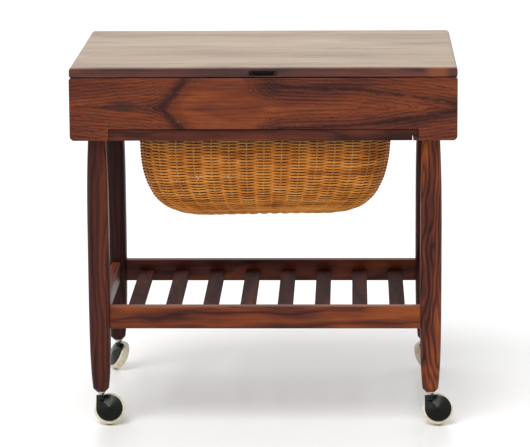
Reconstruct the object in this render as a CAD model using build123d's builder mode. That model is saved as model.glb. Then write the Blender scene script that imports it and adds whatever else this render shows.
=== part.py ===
from build123d import *

"""Sewing table: a hinged-lid box with sliding trays, a wicker basket that pulls out
beneath it, a slatted shelf and four legs on tilted castors.

Millimetres, +X to the right, +Y to the back, +Z up. The origin is on the floor under the
middle of the table, so the front faces -Y.
"""

import os
from math import cos, radians, sin, tan

os.makedirs("parts", exist_ok=True)

# ---------------------------------------------------------------- driving dimensions
WIDTH = 600.0  # box and lid, left to right
DEPTH = 420.0  # box and lid, front to back
HEIGHT = 577.0  # floor to lid top
LID_THICK = 16.6
SEAM = 0.5  # gap between the lid and the box
BOX_HEIGHT = 97.9
WALL = 14.0
FLOOR_THICK = 6.0  # bottom panel of the box
FLOOR_HOUSING = 5.0  # how far the bottom panel enters the walls

LEG_X = 260.5  # leg centre lines
LEG_FRONT_Y = -180.0
LEG_BACK_Y = 170.0
LEG_TIP_Z = 55.0

SHELF_TOP_Z = 194.0
SHELF_RAIL_HEIGHT = 35.5
SHELF_RAIL_THICK = 18.0
SIDE_RAIL_THICK = 14.0
SLAT_COUNT = 8
SLAT_PITCH = 59.8
SLAT_WIDTH = 24.6
SLAT_THICK = 8.0
SLAT_TOP_Z = 177.0

BASKET_HALF_WIDTH = 198.0
BASKET_DEPTH = 300.0
BASKET_FRONT_Y = -192.0
BASKET_BOTTOM_Z = 328.5
BASKET_TOP_Z = 468.8
BASKET_WALL = 7.0
BASKET_CORNER = 60.0  # plan radius at the mouth
BASKET_CURVE_TOP_Z = 460.0  # the sides start to curve in below this
BASKET_TURN_IN = 88.0  # how far the sides come in at the bottom
BASKET_FULLNESS = 2.4  # 2 is an ellipse, more is squarer
CORNER_LOSS = 0.25  # plan radius lost for each millimetre inwards

TRAY_LENGTH = 190.0  # along X
TRAY_HEIGHT = 38.0
TRAY_WALL = 5.0
TRAY_FLOOR = 3.0

WHEEL_RADIUS = 24.5
WHEEL_WIDTH = 14.0
WHEEL_EDGE = 3.0
CASTOR_TILT = 25.0  # degrees that each wheel's face looks up
CASTOR_TRAIL = 12.5
CASTOR_LEAD = 1.0  # wheel face in front of the stem
COVER_RADIUS = 21.0

# ---------------------------------------------------------------- derived places
BOX_BOTTOM = HEIGHT - LID_THICK - SEAM - BOX_HEIGHT
BOX_TOP = BOX_BOTTOM + BOX_HEIGHT
LID_BOTTOM = HEIGHT - LID_THICK
FRONT = -DEPTH / 2
BACK = DEPTH / 2
INNER_X = WIDTH / 2 - WALL
INNER_Y = DEPTH / 2 - WALL

NOTCH_HALF = 240.2  # opening for the basket slide in the front panel
NOTCH_HEIGHT = 18.5
FLOOR_Z = BOX_BOTTOM + NOTCH_HEIGHT + 1.5  # underside of the bottom panel
FLOOR_TOP = FLOOR_Z + FLOOR_THICK

HINGE_Y = BACK - 5.5
HINGE_Z = (BOX_TOP + LID_BOTTOM) / 2
HINGE_X = 190.0  # centres of the two hinges
HINGE_LENGTH = 50.0
BARREL_RADIUS = 2.2
HINGE_PIN_RADIUS = 1.0
LEAF_THICK = 1.2
LEAF_REACH = 8.0
BEVEL_ANGLE = 48.0  # each half of the V that stops the lid
BEVEL_RISE = (BACK - HINGE_Y) * tan(radians(BEVEL_ANGLE))
BARREL_ROOM = 0.4  # clearance round the hinge barrels
SCREW_X = (-17.0, 0.0, 17.0)  # along each hinge
SCREW_Y = HINGE_Y - 5.2
SCREW_RADIUS = 1.1
SCREW_LENGTH = 9.0

LEDGE = 10.0
LEDGE_TOP = 518.0
TRAY_BOTTOM = LEDGE_TOP + 0.2
TRAY_DEPTH = 2 * INNER_Y - 3.0
TRAY_X = INNER_X - TRAY_LENGTH / 2 - 0.8  # tray centres at rest, each against its own end

RUNNER_WEB = 5.3
RUNNER_X = NOTCH_HALF - 0.2
LIP_WIDTH = 8.0
LIP_HEIGHT = 7.0
RUNNER_BACK = 137.0
SLIDE_Z = BOX_BOTTOM + LIP_HEIGHT + 0.3  # underside of what rides on the lips
SLIDE_TOP = BOX_BOTTOM + NOTCH_HEIGHT - 0.5
SLIDE_HALF = RUNNER_X - 0.5
SLIDE_FRONT = FRONT + 1.5
SLIDE_RAIL = 16.0
SLIDE_BACK = BASKET_FRONT_Y + BASKET_DEPTH + 1.0 + SLIDE_RAIL
HOOP_THICK = 4.0


def save(part, name):
    """Label one finished piece and write it as its own STEP file."""
    part.part.label = name
    export_step(part.part, f"parts/{name}.step")


def slab(x0, x1, y0, y1, z0, z1):
    """A box between two corners, for cutting or adding inside a part."""
    place = Pos((x0 + x1) / 2, (y0 + y1) / 2, (z0 + z1) / 2)
    return place * Box(x1 - x0, y1 - y0, z1 - z0, mode=Mode.PRIVATE)


def mitre(x_sign, y_sign):
    """The wedge outside a 45 degree mitre at one corner, on the front or back panel's side."""
    corner = (x_sign * WIDTH / 2, y_sign * DEPTH / 2)
    inner = (x_sign * INNER_X, y_sign * INNER_Y)
    outer = (x_sign * WIDTH / 2, y_sign * INNER_Y)
    face = make_face(Polyline(corner, inner, outer, close=True))
    return Pos(0, 0, BOX_BOTTOM) * extrude(face, BOX_HEIGHT)


MITRES = {(sx, sy): mitre(sx, sy) for sx in (-1, 1) for sy in (-1, 1)}


def end_profile(z0, z1, low_radius, high_radius):
    """Front elevation of the box or the lid, drawn in XZ, with its side edges rounded."""
    half = WIDTH / 2
    corners = [(-half, z0), (half, z0), (half, z1), (-half, z1)]
    radii = [low_radius, low_radius, high_radius, high_radius]
    with BuildSketch(Plane.XZ) as sketch:
        with BuildLine():
            FilletPolyline(*corners, radius=radii, close=True)
        make_face()
    return sketch.sketch


def hinge_screws(z_centre):
    """The six screws of both hinges on one side, centred on one height."""
    with BuildPart() as screws:
        for x in (-HINGE_X, HINGE_X):
            for dx in SCREW_X:
                with Locations(Pos(x + dx, SCREW_Y, z_centre)):
                    Cylinder(SCREW_RADIUS, SCREW_LENGTH)
    return screws


def hinge_room(z0, z1):
    """What the hinges take out of one panel: leaf recesses between two heights, and the barrels."""
    half = HINGE_LENGTH / 2
    room = []
    for x in (-HINGE_X, HINGE_X):
        room.append(slab(x - half, x + half, HINGE_Y - LEAF_REACH, HINGE_Y, z0, z1))
        barrel = Cylinder(BARREL_RADIUS + BARREL_ROOM, HINGE_LENGTH + 2 * KNUCKLE_GAP)
        room.append(Pos(x, HINGE_Y, HINGE_Z) * Rot(0, 90, 0) * barrel)
    return room


def back_bevel(z, rise):
    """The wedge off the back edge at one height, so that the open lid leans on the box."""
    face = make_face(Polyline((0, HINGE_Y, z), (0, BACK, z + rise), (0, BACK, z), close=True))
    return Pos(-WIDTH / 2, 0, 0) * extrude(face, WIDTH, dir=(1, 0, 0))


KNUCKLES = 5
KNUCKLE_GAP = 0.3
LID_SCREWS = hinge_screws(LID_BOTTOM + SCREW_LENGTH / 2)
BOX_SCREWS = hinge_screws(BOX_TOP - SCREW_LENGTH / 2)
LID_HINGE_ROOM = hinge_room(LID_BOTTOM, LID_BOTTOM + LEAF_THICK)
BOX_HINGE_ROOM = hinge_room(BOX_TOP - LEAF_THICK, BOX_TOP)
LID_BEVEL = back_bevel(LID_BOTTOM, BEVEL_RISE)
BOX_BEVEL = back_bevel(BOX_TOP, -BEVEL_RISE)

# ---------------------------------------------------------------- lid
LID_LOW_RADIUS = 3.5
LID_TOP_RADIUS = 6.5
LID_ARRIS = 4.0  # rounding of the front top edge
PULL_HALF = 22.0
PULL_HEIGHT = 8.6
PULL_Z = HEIGHT - 9.9
PULL_DEPTH = 9.0
PULL_INSERT = 6.0  # thickness of the dark insert at the back of the slot
SCOOP_HALF = 17.5
SCOOP_RISE = 3.6
SCOOP_FLOOR = 1.5  # left behind the scoop
PIN_X = 19.4
PIN_RADIUS = 0.9
PIN_HEAD_RADIUS = 1.5
PIN_HEAD = 0.8
PIN_LENGTH = 3.0

LID_PROFILE = end_profile(LID_BOTTOM, HEIGHT, LID_LOW_RADIUS, LID_TOP_RADIUS)

with BuildPart() as lid_panel:
    extrude(Pos(0, BACK, 0) * LID_PROFILE, amount=DEPTH)
    front_edges = lid_panel.faces().sort_by(Axis.Y)[0].edges()
    fillet([e for e in front_edges if e.center().Z > HEIGHT - LID_TOP_RADIUS], LID_ARRIS)
    add(LID_BEVEL, mode=Mode.SUBTRACT)
    # slot for the finger pull
    with BuildSketch(Plane.XZ.offset(-FRONT)):
        with Locations((0, PULL_Z)):
            SlotOverall(2 * PULL_HALF, PULL_HEIGHT)
    extrude(amount=-PULL_DEPTH, mode=Mode.SUBTRACT)
    add(LID_HINGE_ROOM, mode=Mode.SUBTRACT)
    add(LID_SCREWS.part, mode=Mode.SUBTRACT)
save(lid_panel, "lid_panel")

INSERT_FACE = FRONT + PULL_DEPTH - PULL_INSERT
INSERT_PLANE = Plane.XZ.offset(-INSERT_FACE)
PIN_PLACE = Pos(PIN_X, INSERT_FACE, PULL_Z) * Rot(90, 0, 0)

with BuildPart() as pull_insert:
    with BuildSketch(INSERT_PLANE):
        with Locations((0, PULL_Z)):
            SlotOverall(2 * PULL_HALF, PULL_HEIGHT)
    extrude(amount=-PULL_INSERT)
    # a lens-shaped scoop for the finger nail
    with BuildSketch(INSERT_PLANE):
        with BuildLine():
            ThreePointArc((-SCOOP_HALF, PULL_Z), (0, PULL_Z + SCOOP_RISE), (SCOOP_HALF, PULL_Z))
            ThreePointArc((SCOOP_HALF, PULL_Z), (0, PULL_Z - SCOOP_RISE), (-SCOOP_HALF, PULL_Z))
        make_face()
    extrude(amount=-(PULL_INSERT - SCOOP_FLOOR), mode=Mode.SUBTRACT)
    with Locations(PIN_PLACE):
        Cylinder(PIN_RADIUS, 2 * PIN_LENGTH, mode=Mode.SUBTRACT)
save(pull_insert, "pull_insert")

with BuildPart() as pull_pin:
    with Locations(PIN_PLACE):
        Cylinder(PIN_RADIUS, PIN_LENGTH, align=(Align.CENTER, Align.CENTER, Align.MAX))
        Cylinder(PIN_HEAD_RADIUS, PIN_HEAD, align=(Align.CENTER, Align.CENTER, Align.MIN))
save(pull_pin, "pull_pin")

# ---------------------------------------------------------------- box walls and floor
bottom_blank = slab(
    -INNER_X - FLOOR_HOUSING,
    INNER_X + FLOOR_HOUSING,
    -INNER_Y - FLOOR_HOUSING,
    INNER_Y + FLOOR_HOUSING,
    FLOOR_Z,
    FLOOR_TOP,
)
BOX_LOW_RADIUS = 7.0
BOX_TOP_RADIUS = 3.5
FRONT_ARRIS = 1.5
BOX_PROFILE = end_profile(BOX_BOTTOM, BOX_TOP, BOX_LOW_RADIUS, BOX_TOP_RADIUS)

with BuildPart() as front_panel:
    extrude(Pos(0, -INNER_Y, 0) * BOX_PROFILE, amount=WALL)
    face_edges = front_panel.faces().sort_by(Axis.Y)[0].edges()
    fillet(face_edges, FRONT_ARRIS)
    for sx in (-1, 1):
        add(MITRES[(sx, -1)], mode=Mode.SUBTRACT)
    add(bottom_blank, mode=Mode.SUBTRACT)
    notch_top = BOX_BOTTOM + NOTCH_HEIGHT
    add(slab(-NOTCH_HALF, NOTCH_HALF, FRONT, -INNER_Y, BOX_BOTTOM, notch_top), mode=Mode.SUBTRACT)
save(front_panel, "front_panel")

with BuildPart() as back_panel:
    extrude(Pos(0, BACK, 0) * BOX_PROFILE, amount=WALL)
    for sx in (-1, 1):
        add(MITRES[(sx, 1)], mode=Mode.SUBTRACT)
    add(bottom_blank, mode=Mode.SUBTRACT)
    add(BOX_BEVEL, mode=Mode.SUBTRACT)
    add(BOX_HINGE_ROOM, mode=Mode.SUBTRACT)
    add(BOX_SCREWS.part, mode=Mode.SUBTRACT)
save(back_panel, "back_panel")

for sx, side in ((-1, "left"), (1, "right")):
    with BuildPart() as side_panel:
        extrude(Pos(0, BACK, 0) * BOX_PROFILE, amount=DEPTH)
        x_in, x_out = sorted((sx * INNER_X, sx * (WIDTH / 2 + 1)))
        add(slab(x_in, x_out, FRONT, BACK, BOX_BOTTOM, BOX_TOP), mode=Mode.INTERSECT)
        for sy in (-1, 1):
            x0, x1 = sorted((sx * INNER_X, sx * WIDTH / 2))
            y0, y1 = sorted((sy * INNER_Y, sy * DEPTH / 2))
            add(slab(x0, x1, y0, y1, BOX_BOTTOM, BOX_TOP) - MITRES[(sx, sy)], mode=Mode.SUBTRACT)
        add(bottom_blank, mode=Mode.SUBTRACT)
        add(BOX_BEVEL, mode=Mode.SUBTRACT)
    save(side_panel, f"{side}_panel")

LEG_PLACES = {
    "front_left": (-LEG_X, LEG_FRONT_Y),
    "front_right": (LEG_X, LEG_FRONT_Y),
    "back_left": (-LEG_X, LEG_BACK_Y),
    "back_right": (LEG_X, LEG_BACK_Y),
}
BOLT_RADIUS = 4.0
BOLT_HEAD = 7.5
BOLT_DEPTH = 34.0  # into the leg
BOLT_SLOT = 1.2  # screwdriver slot, wide and deep

with BuildPart() as bottom_panel:
    add(bottom_blank)
    with Locations([Pos(x, y, FLOOR_TOP) for x, y in LEG_PLACES.values()]):
        CounterSinkHole(BOLT_RADIUS, BOLT_HEAD, depth=FLOOR_THICK, counter_sink_angle=90)
save(bottom_panel, "bottom_panel")

with BuildPart() as leg_bolts:
    for x, y in LEG_PLACES.values():
        with BuildSketch(Plane.XZ.offset(-y)):
            with BuildLine():
                Polyline(
                    (x, FLOOR_TOP),
                    (x + BOLT_HEAD, FLOOR_TOP),
                    (x + BOLT_RADIUS, FLOOR_TOP - BOLT_HEAD + BOLT_RADIUS),
                    (x + BOLT_RADIUS, FLOOR_Z - BOLT_DEPTH),
                    (x, FLOOR_Z - BOLT_DEPTH),
                    close=True,
                )
            make_face()
        revolve(axis=Axis((x, y, 0), (0, 0, 1)))
        slot_y = BOLT_SLOT / 2
        slot_z = FLOOR_TOP - BOLT_SLOT
        add(slab(x - 5, x + 5, y - slot_y, y + slot_y, slot_z, FLOOR_TOP), mode=Mode.SUBTRACT)
save(leg_bolts, "leg_bolts")

for name, y0, y1 in (
    ("tray_ledge_front", -INNER_Y, -INNER_Y + LEDGE),
    ("tray_ledge_back", INNER_Y - LEDGE, INNER_Y),
):
    with BuildPart() as ledge:
        add(slab(-INNER_X, INNER_X, y0, y1, LEDGE_TOP - LEDGE, LEDGE_TOP))
        chamfer(ledge.edges().filter_by(Axis.X).group_by(Axis.Z)[0], 2.0)
    save(ledge, name)

WELL_DIVIDER_X = 95.0
WELL_DIVIDER_TOP = 506.0
with BuildPart() as well_dividers:
    for x in (-WELL_DIVIDER_X, WELL_DIVIDER_X):
        add(slab(x - 2.5, x + 2.5, -INNER_Y, INNER_Y, FLOOR_TOP, WELL_DIVIDER_TOP))
save(well_dividers, "well_dividers")

# ---------------------------------------------------------------- hinges
KNUCKLE_PITCH = HINGE_LENGTH / KNUCKLES
PIN_PLAY = 0.04


def hinge_leaf(side):
    """One leaf of both hinges: side 0 is let into the box, side 1 into the lid."""
    z0, z1 = ((BOX_TOP - LEAF_THICK, BOX_TOP), (LID_BOTTOM, LID_BOTTOM + LEAF_THICK))[side]
    with BuildPart() as leaf:
        for x in (-HINGE_X, HINGE_X):
            left = x - HINGE_LENGTH / 2
            add(slab(left, left + HINGE_LENGTH, HINGE_Y - LEAF_REACH, HINGE_Y, z0, z1))
            with Locations(Pos(x, HINGE_Y, HINGE_Z) * Rot(0, 90, 0)):
                Cylinder(BARREL_RADIUS + 0.3, HINGE_LENGTH + 1, mode=Mode.SUBTRACT)
            for k in range(side, KNUCKLES, 2):
                x0 = left + k * KNUCKLE_PITCH + KNUCKLE_GAP / 2
                x1 = x0 + KNUCKLE_PITCH - KNUCKLE_GAP
                with Locations(Pos((x0 + x1) / 2, HINGE_Y, HINGE_Z) * Rot(0, 90, 0)):
                    Cylinder(BARREL_RADIUS, x1 - x0)
                add(slab(x0, x1, HINGE_Y - BARREL_RADIUS - 1, HINGE_Y, z0, z1))
            with Locations(Pos(x, HINGE_Y, HINGE_Z) * Rot(0, 90, 0)):
                bore = HINGE_PIN_RADIUS + (0.0, PIN_PLAY)[side]
                Cylinder(bore, HINGE_LENGTH + 2, mode=Mode.SUBTRACT)
            for dx in SCREW_X:
                with Locations(Pos(x + dx, SCREW_Y, (z0 + z1) / 2)):
                    Cylinder(SCREW_RADIUS, 4.0, mode=Mode.SUBTRACT)
    return leaf


save(hinge_leaf(0), "hinge_leaf_box")
save(hinge_leaf(1), "hinge_leaf_lid")

with BuildPart() as hinge_pins:
    for x in (-HINGE_X, HINGE_X):
        with Locations(Pos(x, HINGE_Y, HINGE_Z) * Rot(0, 90, 0)):
            Cylinder(HINGE_PIN_RADIUS, HINGE_LENGTH)
save(hinge_pins, "hinge_pins")

save(BOX_SCREWS, "hinge_screws_box")
save(LID_SCREWS, "hinge_screws_lid")

# ---------------------------------------------------------------- trays
TRAY_SCOOP_RADIUS = 24.0
TRAY_SCOOP_RISE = 12.0  # centre of the finger scoop above the tray's rim

for sx, side in ((-1, "left"), (1, "right")):
    tray_x = sx * TRAY_X
    tray_top = TRAY_BOTTOM + TRAY_HEIGHT
    with BuildPart() as tray:
        with BuildSketch(Plane.XY.offset(TRAY_BOTTOM)):
            with Locations((tray_x, 0)):
                Rectangle(TRAY_LENGTH, TRAY_DEPTH)
        extrude(amount=TRAY_HEIGHT)
        fillet(tray.edges().filter_by(Axis.Z), 2.0)
        with BuildSketch(Plane.XY.offset(TRAY_BOTTOM + TRAY_FLOOR)):
            with Locations((tray_x, 0)):
                Rectangle(TRAY_LENGTH - 2 * TRAY_WALL, TRAY_DEPTH - 2 * TRAY_WALL)
        extrude(amount=TRAY_HEIGHT, mode=Mode.SUBTRACT)
        # finger scoops in the two end walls that face along the table
        with Locations(Pos(tray_x, 0, tray_top + TRAY_SCOOP_RISE) * Rot(0, 90, 0)):
            Cylinder(TRAY_SCOOP_RADIUS, TRAY_LENGTH + 2, mode=Mode.SUBTRACT)
    save(tray, f"tray_{side}")

DIVIDER = 3.0
TRAY_INNER_X = TRAY_LENGTH - 2 * TRAY_WALL
TRAY_INNER_Y = TRAY_DEPTH - 2 * TRAY_WALL
DIVIDER_Z = TRAY_BOTTOM + TRAY_FLOOR
DIVIDER_TOP = DIVIDER_Z + 24.0

with BuildPart() as tray_dividers_left:
    # one long divider crossed by three short ones, halved together: eight compartments
    x0 = -TRAY_X
    half_y = TRAY_INNER_Y / 2
    half_x = TRAY_INNER_X / 2
    add(slab(x0 - DIVIDER / 2, x0 + DIVIDER / 2, -half_y, half_y, DIVIDER_Z, DIVIDER_TOP))
    for k in (-1, 0, 1):
        y = k * TRAY_INNER_Y / 4
        y0, y1 = y - DIVIDER / 2, y + DIVIDER / 2
        add(slab(x0 - half_x, x0 + half_x, y0, y1, DIVIDER_Z, DIVIDER_TOP))
save(tray_dividers_left, "tray_dividers_left")

PEG_BOARD = 5.0
PEG_RADIUS = 2.5
PEG_HEIGHT = 24.0
PEG_PITCH = 34.0
with BuildPart() as tray_divider_right:
    y = -6.0
    y0, y1 = y - DIVIDER / 2, y + DIVIDER / 2
    add(slab(TRAY_X - half_x, TRAY_X + half_x, y0, y1, DIVIDER_Z, DIVIDER_TOP))
save(tray_divider_right, "tray_divider_right")

with BuildPart() as spool_pegs:
    # two dozen thread pegs on a loose board that fills the back half of the right tray
    y0, y1 = -4.0, half_y - 0.5
    x0, x1 = TRAY_X - half_x + 0.5, TRAY_X + half_x - 0.5
    add(slab(x0, x1, y0, y1, DIVIDER_Z, DIVIDER_Z + PEG_BOARD))
    mid = ((x0 + x1) / 2, (y0 + y1) / 2)
    with BuildSketch(Plane.XY.offset(DIVIDER_Z + PEG_BOARD)):
        with Locations(mid):
            with GridLocations(PEG_PITCH, PEG_PITCH, 5, 5):
                Circle(PEG_RADIUS)
    extrude(amount=PEG_HEIGHT)
    fillet(spool_pegs.faces().sort_by(Axis.Z)[-25:].edges(), 1.2)
save(spool_pegs, "spool_pegs")

# ---------------------------------------------------------------- legs
# width of the rounded square section at each height: a long cigar taper
LEG_SECTIONS = (
    (61.0, 24.6),
    (95.0, 30.0),
    (140.0, 32.6),
    (215.0, 33.6),
    (300.0, 33.6),
    (370.0, 32.8),
    (430.0, 29.8),
    (FLOOR_Z, 25.0),
)
LEG_TIP_WIDTH = 14.0
LEG_ROUND = 0.28  # corner radius as a share of the width
RAIL_HOUSING = 4.0  # how far rails enter the legs
TENON = 13.0
TENON_THICK = 8.0
STEM_RADIUS = 3.2
STEM_TOP = 92.0
BEARER_WIDTH = 20.0
BEARER_BOTTOM = FLOOR_Z - 18.0
BEARER_HOUSING = 3.0
LEG_FACE = 33.3 / 2  # half width of a leg at the shelf
LEG_HEAD = 25.6 / 2  # half width of a leg at the bearers


def rail_solid(y):
    """A shelf rail across the table, housed and tenoned into two legs."""
    low = SHELF_TOP_Z - SHELF_RAIL_HEIGHT
    end = LEG_X - LEG_FACE + RAIL_HOUSING
    half = SHELF_RAIL_THICK / 2
    body = slab(-end, end, y - half, y + half, low, SHELF_TOP_Z)
    tenon_low, tenon_top = low + 5, SHELF_TOP_Z - 5
    tenon_half = TENON_THICK / 2
    reach = end + TENON
    tenon = slab(-reach, reach, y - tenon_half, y + tenon_half, tenon_low, tenon_top)
    return body + tenon


def side_rail_solid(sx):
    """A thinner shelf rail between the front and back legs of one side."""
    low = SHELF_TOP_Z - SHELF_RAIL_HEIGHT
    half = SIDE_RAIL_THICK / 2
    x = sx * LEG_X
    y0 = LEG_FRONT_Y + LEG_FACE - RAIL_HOUSING
    y1 = LEG_BACK_Y - LEG_FACE + RAIL_HOUSING
    return slab(x - half, x + half, y0, y1, low + 2, SHELF_TOP_Z - 2)


def bearer_solid(sx):
    """The bar under the box that joins the heads of one side's legs."""
    x = sx * LEG_X
    y0 = LEG_FRONT_Y + LEG_HEAD - BEARER_HOUSING
    y1 = LEG_BACK_Y - LEG_HEAD + BEARER_HOUSING
    half = BEARER_WIDTH / 2
    return slab(x - half, x + half, y0, y1, BEARER_BOTTOM, FLOOR_Z)


RAILS = {
    "shelf_front_rail": rail_solid(LEG_FRONT_Y),
    "shelf_back_rail": rail_solid(LEG_BACK_Y),
}
SIDE_RAILS = {"left": side_rail_solid(-1), "right": side_rail_solid(1)}
BEARERS = {"left": bearer_solid(-1), "right": bearer_solid(1)}

for name, (x, y) in LEG_PLACES.items():
    side = name.split("_")[1]
    with BuildPart() as leg:
        for z, width in LEG_SECTIONS:
            with BuildSketch(Plane.XY.offset(z)):
                with Locations((x, y)):
                    RectangleRounded(width, width, width * LEG_ROUND)
        loft()
        for z, width in ((LEG_TIP_Z, LEG_TIP_WIDTH), LEG_SECTIONS[0]):
            with BuildSketch(Plane.XY.offset(z)):
                with Locations((x, y)):
                    RectangleRounded(width, width, width * LEG_ROUND)
        loft(ruled=True)
        for cut in (*RAILS.values(), SIDE_RAILS[side], BEARERS[side]):
            add(cut, mode=Mode.SUBTRACT)
        with Locations(Pos(x, y, LEG_TIP_Z)):
            Cylinder(
                STEM_RADIUS,
                STEM_TOP - LEG_TIP_Z,
                align=(Align.CENTER, Align.CENTER, Align.MIN),
                mode=Mode.SUBTRACT,
            )
        with Locations(Pos(x, y, FLOOR_Z)):
            Cylinder(
                BOLT_RADIUS,
                BOLT_DEPTH,
                align=(Align.CENTER, Align.CENTER, Align.MAX),
                mode=Mode.SUBTRACT,
            )
    save(leg, f"leg_{name}")

for side, solid in BEARERS.items():
    with BuildPart() as bearer:
        add(solid)
    save(bearer, f"bearer_{side}")

# ---------------------------------------------------------------- shelf
SLAT_HOUSING = 6.0
SLAT_ROUND = 1.5
RAIL_ROUND = 1.8
slat_front = LEG_FRONT_Y + SHELF_RAIL_THICK / 2 - SLAT_HOUSING
slat_back = LEG_BACK_Y - SHELF_RAIL_THICK / 2 + SLAT_HOUSING
slats = []
for i in range(SLAT_COUNT):
    x = (i - (SLAT_COUNT - 1) / 2) * SLAT_PITCH
    half = SLAT_WIDTH / 2
    with BuildPart() as slat:
        add(slab(x - half, x + half, slat_front, slat_back, SLAT_TOP_Z - SLAT_THICK, SLAT_TOP_Z))
        fillet(slat.edges().filter_by(Axis.Y).group_by(Axis.Z)[-1], SLAT_ROUND)
    save(slat, f"shelf_slat_{i + 1}")
    slats.append(slat.part)

for name, solid in RAILS.items():
    y = LEG_FRONT_Y if "front" in name else LEG_BACK_Y
    with BuildPart() as rail:
        add(solid)
        half = SHELF_RAIL_THICK / 2
        long_edges = rail.edges().filter_by(Axis.X)
        long_edges = long_edges.filter_by(lambda e: abs(abs(e.center().Y - y) - half) < 0.1)
        fillet(long_edges, RAIL_ROUND)
        for one in slats:
            add(one, mode=Mode.SUBTRACT)
    save(rail, name)

for side, solid in SIDE_RAILS.items():
    with BuildPart() as side_rail:
        add(solid)
        fillet(side_rail.edges().filter_by(Axis.Y), SLAT_ROUND)
    save(side_rail, f"shelf_{side}_rail")

# ---------------------------------------------------------------- basket slide
for sx, side in ((-1, "left"), (1, "right")):
    inner, web, outer = RUNNER_X - LIP_WIDTH, RUNNER_X, RUNNER_X + RUNNER_WEB
    with BuildPart() as runner:
        lip_x = sorted((sx * inner, sx * web))
        web_x = sorted((sx * web, sx * outer))
        lip_top = BOX_BOTTOM + LIP_HEIGHT
        add(slab(*lip_x, SLIDE_FRONT, RUNNER_BACK, BOX_BOTTOM, lip_top))
        add(slab(*web_x, -INNER_Y + 0.3, RUNNER_BACK, BOX_BOTTOM, FLOOR_Z))
        add(slab(*lip_x, SLIDE_BACK + 0.4, RUNNER_BACK, lip_top, FLOOR_Z))
    save(runner, f"runner_{side}")

STOP_FRONT = -135.0  # the hoop's back meets the stop's back when the slide is right out
STOP_BACK = -123.0
STOP_HALF = 20.0
STOP_DROP = 10.0
with BuildPart() as slide_stop:
    add(slab(-STOP_HALF, STOP_HALF, STOP_FRONT, STOP_BACK, FLOOR_Z - STOP_DROP, FLOOR_Z))
    chamfer(slide_stop.edges().filter_by(Axis.Z), 1.5)
save(slide_stop, "slide_stop")

for name, y0 in (("slide_front_rail", SLIDE_FRONT), ("slide_back_rail", SLIDE_BACK - SLIDE_RAIL)):
    low_half = RUNNER_X - LIP_WIDTH - 1.5
    with BuildPart() as rail:
        add(slab(-SLIDE_HALF, SLIDE_HALF, y0, y0 + SLIDE_RAIL, SLIDE_Z, SLIDE_TOP))
        add(slab(-low_half, low_half, y0, y0 + SLIDE_RAIL, BOX_BOTTOM, SLIDE_Z))
        fillet(rail.faces().sort_by(Axis.Y)[0].edges().filter_by(Axis.X), 1.2)
    save(rail, name)


def basket_section(z, half_x, half_y, radius):
    """A rounded rectangle of the basket's plan at one height."""
    with BuildSketch(Plane.XY.offset(z), mode=Mode.PRIVATE) as section:
        with Locations((0, BASKET_FRONT_Y + BASKET_DEPTH / 2)):
            RectangleRounded(2 * half_x, 2 * half_y, radius)
    return section.sketch


def basket_form(inset):
    """The basket's outer form, or its hollow when inset by the wall, as one solid."""
    half_x = BASKET_HALF_WIDTH - inset
    half_y = BASKET_DEPTH / 2 - inset
    bottom = BASKET_BOTTOM_Z + inset
    span = BASKET_CURVE_TOP_Z - bottom
    turn = BASKET_TURN_IN - inset
    power = 2 / BASKET_FULLNESS
    sections = []
    for angle in (0, 10, 20, 32, 44, 54, 64, 74, 83, 90):
        inward = turn * (1 - max(cos(radians(angle)), 0) ** power)
        z = BASKET_CURVE_TOP_Z - span * sin(radians(angle)) ** power
        radius = BASKET_CORNER - inset - inward * CORNER_LOSS
        sections.append(basket_section(z, half_x - inward, half_y - inward, radius))
    curve = loft([s.face() for s in sections], ruled=True)
    top = BASKET_TOP_Z + (1 if inset else 0)
    mouth = extrude(sections[0], top - BASKET_CURVE_TOP_Z)
    return curve + mouth


basket_outside = basket_form(0)
basket_hollow = basket_form(BASKET_WALL)
with BuildPart() as basket:
    add(basket_outside)
    add(basket_hollow, mode=Mode.SUBTRACT)
save(basket, "basket")

hoop_out = BASKET_WALL + 0.3
HOOP_BOTTOM = 454.0
with BuildPart() as basket_hoop:
    half_x = BASKET_HALF_WIDTH - hoop_out
    half_y = BASKET_DEPTH / 2 - hoop_out
    with BuildSketch(Plane.XY.offset(HOOP_BOTTOM)):
        with Locations((0, BASKET_FRONT_Y + BASKET_DEPTH / 2)):
            RectangleRounded(2 * half_x, 2 * half_y, BASKET_CORNER - hoop_out)
            RectangleRounded(
                2 * (half_x - HOOP_THICK),
                2 * (half_y - HOOP_THICK),
                BASKET_CORNER - hoop_out - HOOP_THICK,
                mode=Mode.SUBTRACT,
            )
    extrude(amount=SLIDE_TOP - HOOP_BOTTOM)
save(basket_hoop, "basket_hoop")

with BuildPart() as slide_plate:
    y0, y1 = SLIDE_FRONT + SLIDE_RAIL, SLIDE_BACK - SLIDE_RAIL
    add(slab(-SLIDE_HALF, SLIDE_HALF, y0, y1, SLIDE_Z, SLIDE_TOP))
    with BuildSketch(Plane.XY.offset(SLIDE_Z)):
        with Locations((0, BASKET_FRONT_Y + BASKET_DEPTH / 2)):
            RectangleRounded(2 * half_x, 2 * half_y, BASKET_CORNER - hoop_out)
    extrude(amount=SLIDE_TOP - SLIDE_Z, mode=Mode.SUBTRACT)
save(slide_plate, "slide_plate")

# ---------------------------------------------------------------- castors
COVER_GAP = 0.5
COVER_PLATE = 1.6
COVER_PEAK = 4.6
AXLE_RADIUS = 3.0
AXLE_DEPTH = 11.0
BOSS_RADIUS = 4.6
BOSS_LOW = 41.5
BOSS_TOP = 48.2
COLLAR_BOTTOM = 48.5
PINTLE_RADIUS = 2.4
PINTLE_LOW = 42.5
# heading of each wheel's face at rest, in degrees, and which hand the castor is
CASTORS = {
    "front_left": (-90.0, 1),
    "front_right": (-90.0, 1),
    "back_left": (-156.0, -1),
    "back_right": (-24.0, 1),
}
tilt = radians(CASTOR_TILT)
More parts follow.
